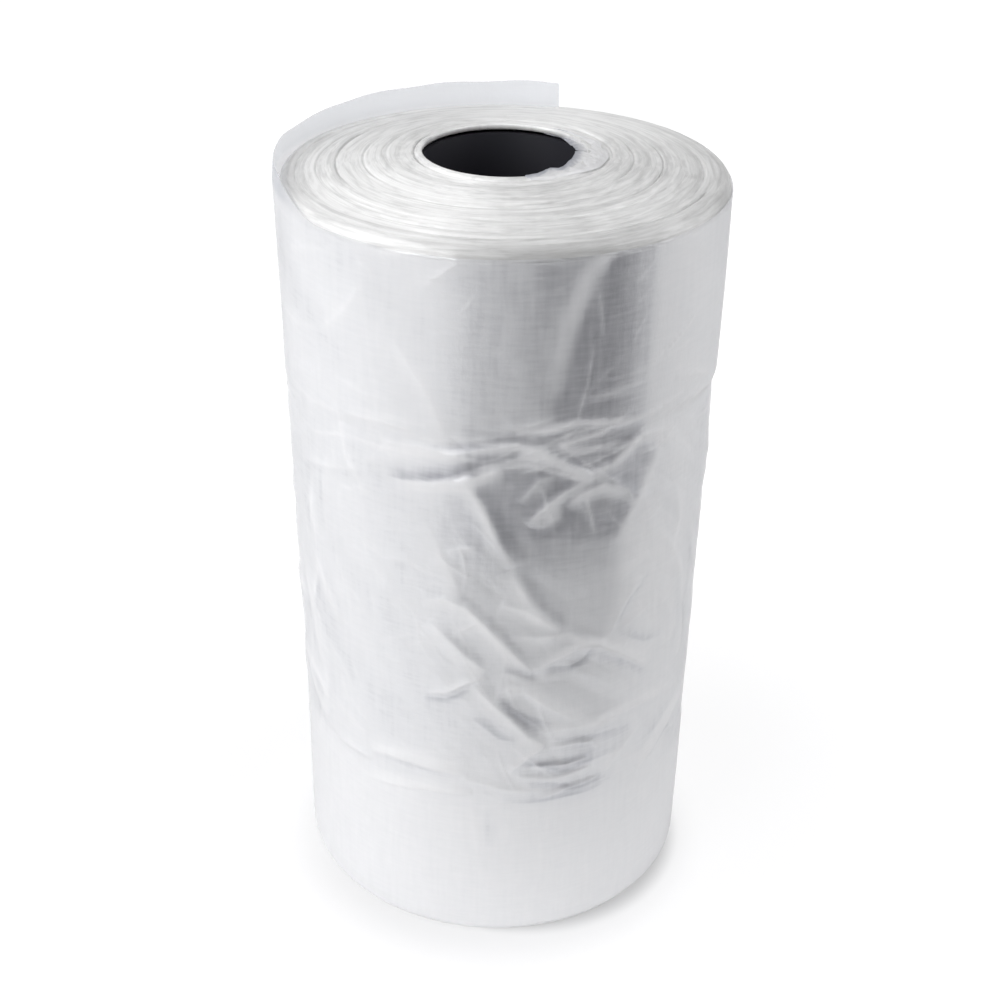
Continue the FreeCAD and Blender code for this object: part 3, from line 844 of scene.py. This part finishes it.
def paperMaterial():
    # lit so brightly that it shows pure white; close by, the roll's shadow and a painted shadow in the glow
    # grey it
    material, tree, _ = newMaterial("paper_sweep", {})
    tree.nodes.clear()
    path = addNode(tree, "LightPath")
    seen = addNode(tree, "Math", {"operation": "MAXIMUM"}, None,
                   {0: path.outputs["Is Camera Ray"], 1: path.outputs["Is Transmission Ray"]})
    plain = addNode(tree, "BsdfDiffuse", None, {"Color": linearColour("#FBFBFB")})
    greyed = addNode(tree, "BsdfDiffuse", None, {"Color": linearColour("#6C6C6F")})
    place = addNode(tree, "TexCoord")
    levels = []
    for centre, (low, bottom), (high, top) in paper["rings"]:
        centred = addNode(tree, "VectorMath", {"operation": "SUBTRACT"}, {1: centre},
                          {0: place.outputs["Object"]})
        away = addNode(tree, "VectorMath", {"operation": "LENGTH"}, None, {0: centred.outputs[0]})
        ring = addNode(tree, "MapRange", {"interpolation_type": "SMOOTHSTEP"},
                       {"From Min": low, "From Max": high, "To Min": bottom, "To Max": top},
                       {"Value": away.outputs["Value"]})
        levels.append(ring.outputs[0])
    total = levels[0]
    for level in levels[1:]:
        total = addNode(tree, "Math", links={0: total, 1: level}).outputs[0]
    # glow with a painted shadow round the roll
    glowWithPaintedShadow = addNode(tree, "Emission", links={"Strength": total})
    washed = addNode(tree, "AddShader", links={0: greyed.outputs[0], 1: glowWithPaintedShadow.outputs[0]})
    both = addNode(tree, "MixShader",
                   links={0: seen.outputs[0], 1: plain.outputs[0], 2: washed.outputs[0]})
    addNode(tree, "OutputMaterial", links={"Surface": both.outputs[0]})
    return material


def buildPaper():
    mesh = bpy.data.meshes.new("floor")
    corners = [(x, y, rollLow.z - paper["gap"]) for x, y in paper["corners"]]
    mesh.from_pydata(corners, [], [tuple(range(len(corners)))])
    floor = bpy.data.objects.new("floor", mesh)
    bpy.context.scene.collection.objects.link(floor)
    mesh.materials.append(paperMaterial())


lamps = {
    # name: direction from the roll (azimuth, elevation), distance, size, power
    "keyLeft": ((-62, 42), 1.2, (1.2, 1.1), 11.6),
    "keyFront": ((-34, 24), 1.3, (0.8, 0.7), 4.3),
    "fillRight": ((85, 32), 1.2, (1.0, 1.1), 9.2),
    "overBack": ((-165, 50), 1.1, (0.9, 0.7), 1.0),
}


def buildLamps():
    middle = Vector((0, 0, 0.13))      # all lamps face the middle of the roll
    for name, (direction, distance, size, power) in lamps.items():
        a, e = (math.radians(v) for v in direction)
        lamp = bpy.data.lights.new(name, "AREA")
        lamp.shape, lamp.size, lamp.size_y, lamp.energy = "RECTANGLE", size[0], size[1], power
        holder = bpy.data.objects.new(name, lamp)
        spot = Vector((math.sin(a) * math.cos(e), -math.cos(a) * math.cos(e), math.sin(e))) * distance
        holder.location = spot + middle
        holder.rotation_euler = spot.to_track_quat("Z", "Y").to_euler()
        bpy.context.scene.collection.objects.link(holder)


room = {
    "strength": 2.5,
    # what the film mirrors: azimuth from the front (positive to the right), brightness, below and above
    # eye level
    "below": [(-180, 0.8), (-120, 0.3), (-75, 0.1), (-46, 0.38), (-27, 0.40), (-12, 0.03), (2, 0.12),
              (20, 0.0), (28, 0.0), (36, 0.04), (42, 0.02), (49, 0.0), (64, 0.0), (83, 0.26), (100, 0.36),
              (140, 0.15), (180, 0.8)],
    "above": [(-180, 0.04), (-110, 0.085), (-60, 0.03), (-20, 0.04), (20, 0.045), (60, 0.06), (110, 0.02),
              (180, 0.04)],
}


def roomRamp(tree, around, stops):
    ramp = addNode(tree, "ValToRGB", links={"Fac": around})
    ramp.color_ramp.interpolation = "EASE"
    elements = ramp.color_ramp.elements
    while len(elements) < len(stops):
        elements.new(0.5)
    for element, (azimuth, value) in zip(elements, stops):
        element.position, element.color = (azimuth + 180) / 360, (value, value, value, 1)
    return ramp.outputs["Color"]


def buildWorld():
    world = bpy.data.worlds.new("studio")
    bpy.context.scene.world = world
    world.use_nodes = True
    tree = world.node_tree
    tree.nodes.clear()
    path = addNode(tree, "LightPath")
    place = addNode(tree, "TexCoord")
    # turned so that the radial gradient runs from the back round the left, the front and the right
    turned = addNode(tree, "Mapping", None, {"Rotation": (0, 0, math.radians(90))},
                     {"Vector": place.outputs["Generated"]})
    around = addNode(tree, "TexGradient", {"gradient_type": "RADIAL"}, None,
                     {"Vector": turned.outputs[0]})
    parts = addNode(tree, "SeparateXYZ", links={0: place.outputs["Generated"]})
    upper = addNode(tree, "MapRange", {"interpolation_type": "SMOOTHSTEP"},
                    {"From Min": -0.15, "From Max": 0.35}, {"Value": parts.outputs["Z"]})
    below, above = (roomRamp(tree, around.outputs["Fac"], room[part]) for part in ("below", "above"))
    both = addNode(tree, "Mix", {"data_type": "RGBA"}, None, {0: upper.outputs[0], 6: below, 7: above})
    seen = addNode(tree, "Background", None, {"Strength": room["strength"]}, {"Color": both.outputs[2]})
    white = addNode(tree, "Background", None, {"Color": (1, 1, 1, 1), "Strength": 1.0})
    mix = addNode(tree, "MixShader",
                  links={0: path.outputs["Is Camera Ray"], 1: seen.outputs[0], 2: white.outputs[0]})
    addNode(tree, "OutputWorld", links={"Surface": mix.outputs[0]})


view = {"place": (0.0, -0.5057, 0.4224), "pitch": 29.78, "tilt": 0.928, "lens": 61.53, "shift": 0.0012}


def buildCamera():
    pitch, tilt = math.radians(view["pitch"]), math.radians(view["tilt"])
    forward = Vector((0, math.cos(pitch), -math.sin(pitch)))
    upright = Vector((0, math.sin(pitch), math.cos(pitch)))
    across = Vector((1, 0, 0)) * math.cos(tilt) + upright * math.sin(tilt)
    up = upright * math.cos(tilt) - Vector((1, 0, 0)) * math.sin(tilt)
    camera = bpy.data.cameras.new("camera")
    camera.lens, camera.sensor_width, camera.shift_x = view["lens"], 36.0, view["shift"]
    camera.clip_start = 0.01
    holder = bpy.data.objects.new("camera", camera)
    turn = Matrix((across, up, -forward)).transposed().to_4x4()
    holder.matrix_world = Matrix.Translation(view["place"]) @ turn
    bpy.context.scene.collection.objects.link(holder)
    bpy.context.scene.camera = holder


bpy.context.scene.view_settings.view_transform = "Standard"
buildCamera()
buildPaper()
buildLamps()
buildWorld()
print("paper, lamps and camera placed")

lastPieces, woundBody, coreLip = buildLastTurn(), buildBody(), buildLip()
lastTurnFilm = looseFilm()
for piece in lastPieces:
    piece.data.materials.append(lastTurnFilm)
coreLip.data.materials.append(cloudedFilm())
for material in (woundFilm(), turnEdges()):
    woundBody.data.materials.append(material)
for piece in lastPieces + [coreLip, woundBody]:
    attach(piece, "root")
    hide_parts("bag_roll")
print("film built")

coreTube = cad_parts["core_tube"]
coreTube.data.materials.clear()
coreTube.data.materials.append(corePlastic())
print("core dressed")
